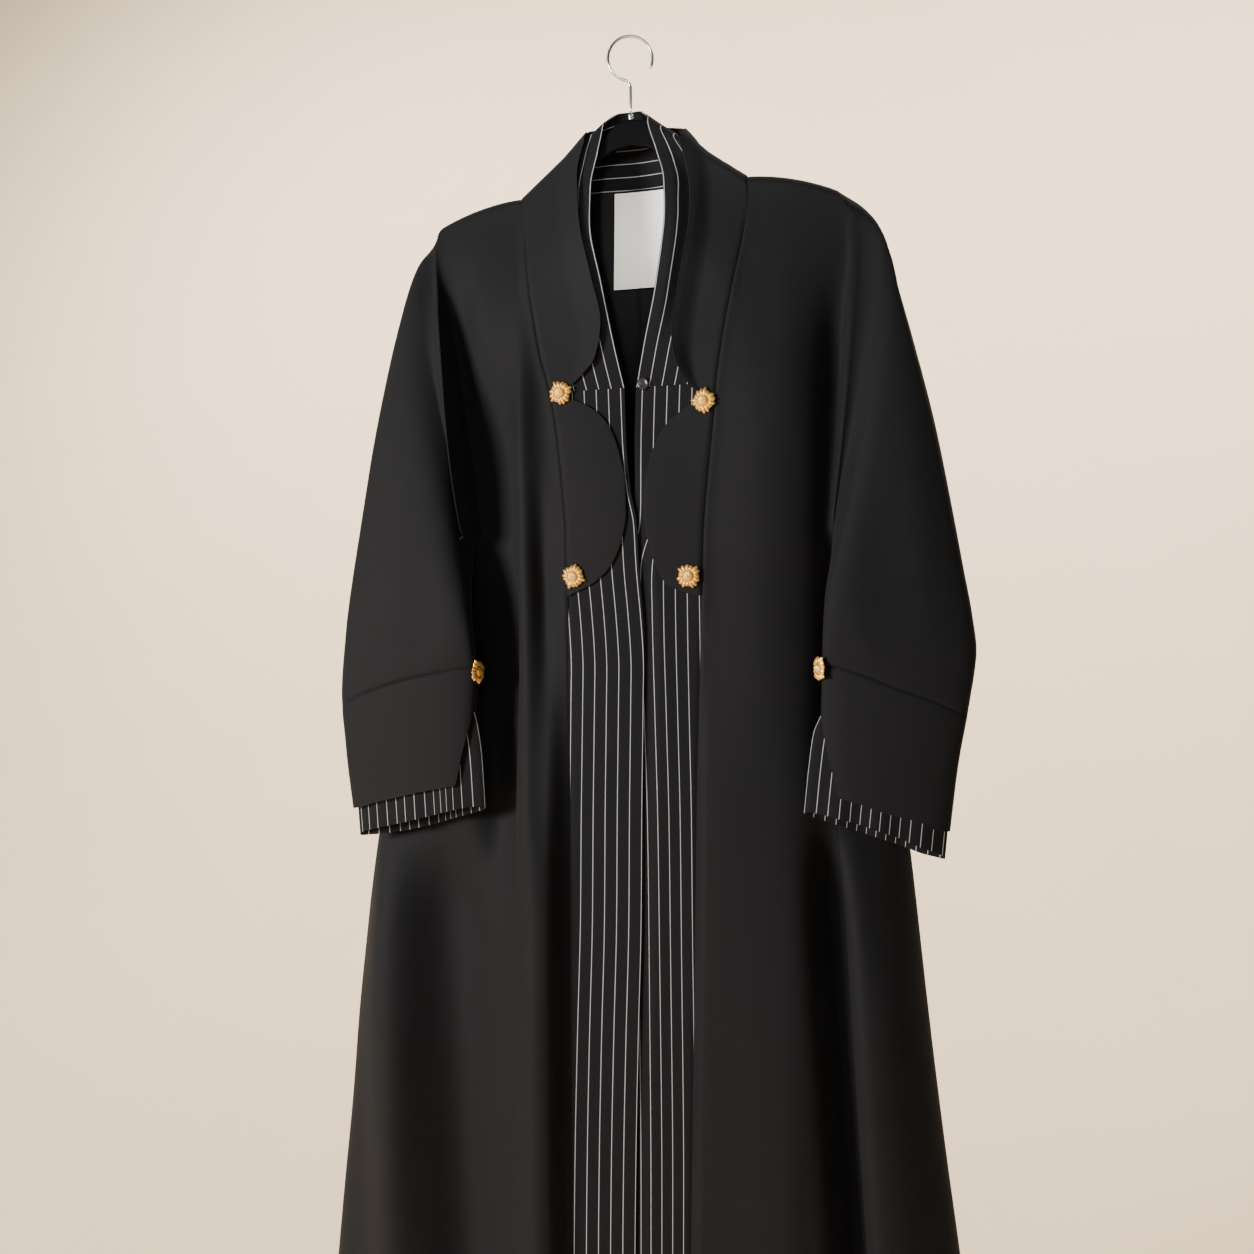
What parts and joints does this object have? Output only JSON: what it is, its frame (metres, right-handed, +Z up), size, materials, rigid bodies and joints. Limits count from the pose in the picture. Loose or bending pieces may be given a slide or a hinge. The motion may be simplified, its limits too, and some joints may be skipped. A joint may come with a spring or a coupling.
{
  "type": "abaya on a clothes hanger",
  "caption": "Open-fronted long-sleeved robe with striped front insets, lapels and under-cuffs, hanging flat on a slim wire-hook hanger.",
  "frame": {"origin": "inside top of the hanger's hook, where the rail carries it", "axes": "+Z up, the front of the garment faces -Y, +X is the wearer's left"},
  "size_m": [0.7066, 0.1193, 1.5467],
  "materials": {
    "crepe": "black crepe with a fine dull grain",
    "pinstripe": "dark grey suiting with fine pale grey stripes",
    "label": "woven cream satin, blank",
    "gold": "cast antique gold metal",
    "dark_button": "dark polished shank button",
    "hanger": "black moulded plastic, satin",
    "wire": "bright plated steel wire"
  },
  "bodies": {
    "root": {"front_right": "crepe", "front_left": "crepe", "back_right": "crepe", "back_left": "crepe", "sleeve_right": "crepe", "sleeve_left": "crepe", "cuff_right": "crepe", "cuff_left": "crepe", "lapel_right": "crepe", "lapel_left": "crepe", "scallop_right": "crepe", "scallop_left": "crepe", "inset_right": "pinstripe", "inset_left": "pinstripe", "neck_band": "pinstripe", "under_cuff_right": "pinstripe", "under_cuff_left": "pinstripe", "neck_label": "label", "button_lapel_right": "gold", "button_lapel_left": "gold", "button_scallop_right": "gold", "button_scallop_left": "gold", "button_cuff_right": "gold", "button_cuff_left": "gold", "button_neck": "dark_button", "hanger_body": "hanger", "hanger_ferrule": "wire", "hanger_hook": "wire"}
  },
  "joints": []
}
